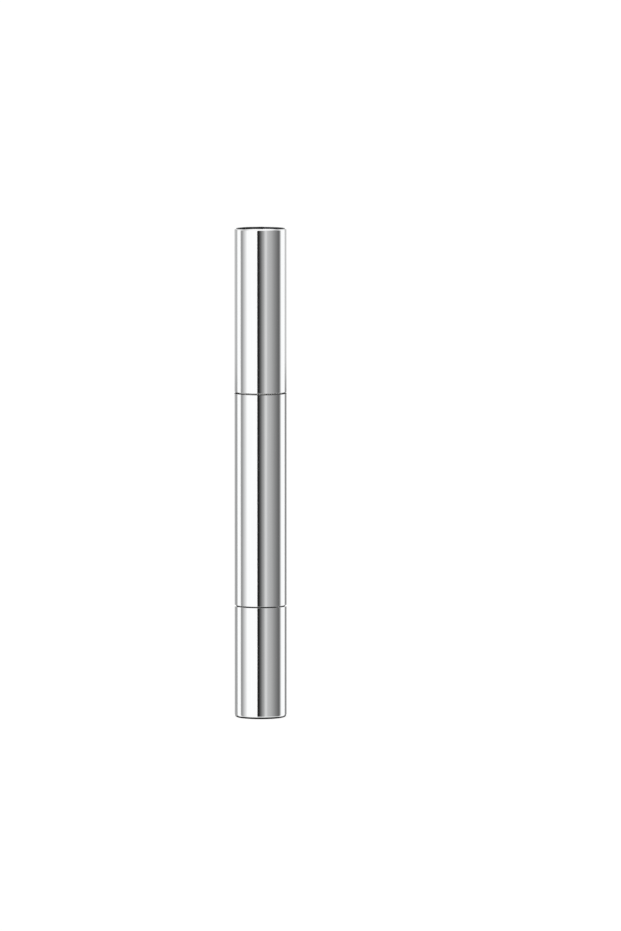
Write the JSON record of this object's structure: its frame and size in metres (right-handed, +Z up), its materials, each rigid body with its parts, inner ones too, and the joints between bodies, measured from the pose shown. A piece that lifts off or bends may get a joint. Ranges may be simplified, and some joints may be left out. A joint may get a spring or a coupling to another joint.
{
  "type": "nail oil pen",
  "caption": "Slim metal-clad twist pen for nail oil, with a pull-off cap, a round brush in a white nozzle and a click-turning knob that drives a piston up the barrel.",
  "frame": {"origin": "middle of the flat foot of the knob, on which the closed pen stands", "axes": "+Z up along the pen's axis, from the knob to the cap; +X to the right and -Y towards the viewer of the picture"},
  "size_m": [0.013, 0.013, 0.1215],
  "materials": {
    "polished_metal": "polished to a mirror",
    "natural_plastic": "translucent, moulded",
    "white_plastic": "smooth, moulded",
    "grey_plastic": "smooth, moulded",
    "spring_plastic": "satin, moulded",
    "rubber": "satin",
    "bristle_fibre": "fine white nylon fibres"
  },
  "bodies": {
    "barrel": {"barrel_shell": "polished_metal", "reservoir": "natural_plastic", "neck_seal": "white_plastic", "tail_bush": "grey_plastic", "ratchet_ring": "grey_plastic", "screw_nut": "white_plastic", "feed_tube": "natural_plastic", "nozzle": "white_plastic", "brush_root": "white_plastic", "bristles": "bristle_fibre"},
    "cap": {"cap_shell": "polished_metal", "cap_liner": "white_plastic", "cap_end_disc": "polished_metal"},
    "knob": {"knob_shell": "polished_metal", "knob_core": "grey_plastic", "click_pawl": "spring_plastic", "damping_ring": "rubber"},
    "screw": {"lead_screw": "white_plastic"},
    "plunger": {"piston": "white_plastic"}
  },
  "joints": [
    {"name": "cap_pull", "type": "slide", "parent": "barrel", "child": "cap", "axis": [0, 0, 1], "range_m": [0, 0.045]},
    {"name": "knob_turn", "type": "hinge", "parent": "barrel", "child": "knob", "pos_m": [0, 0, 0.02785], "axis": [0, 0, 1], "range_deg": [0, 3600]},
    {"name": "screw_feed", "type": "slide", "parent": "knob", "child": "screw", "axis": [0, 0, 1], "range_m": [0, 0.0301]},
    {"name": "piston_feed", "type": "slide", "parent": "barrel", "child": "plunger", "axis": [0, 0, 1], "range_m": [0, 0.0301]}
  ],
  "couplings": [
    {"joint": "screw_feed", "follows": "knob_turn", "m_per_rad": 0.00047746},
    {"joint": "piston_feed", "follows": "knob_turn", "m_per_rad": 0.00047746}
  ]
}
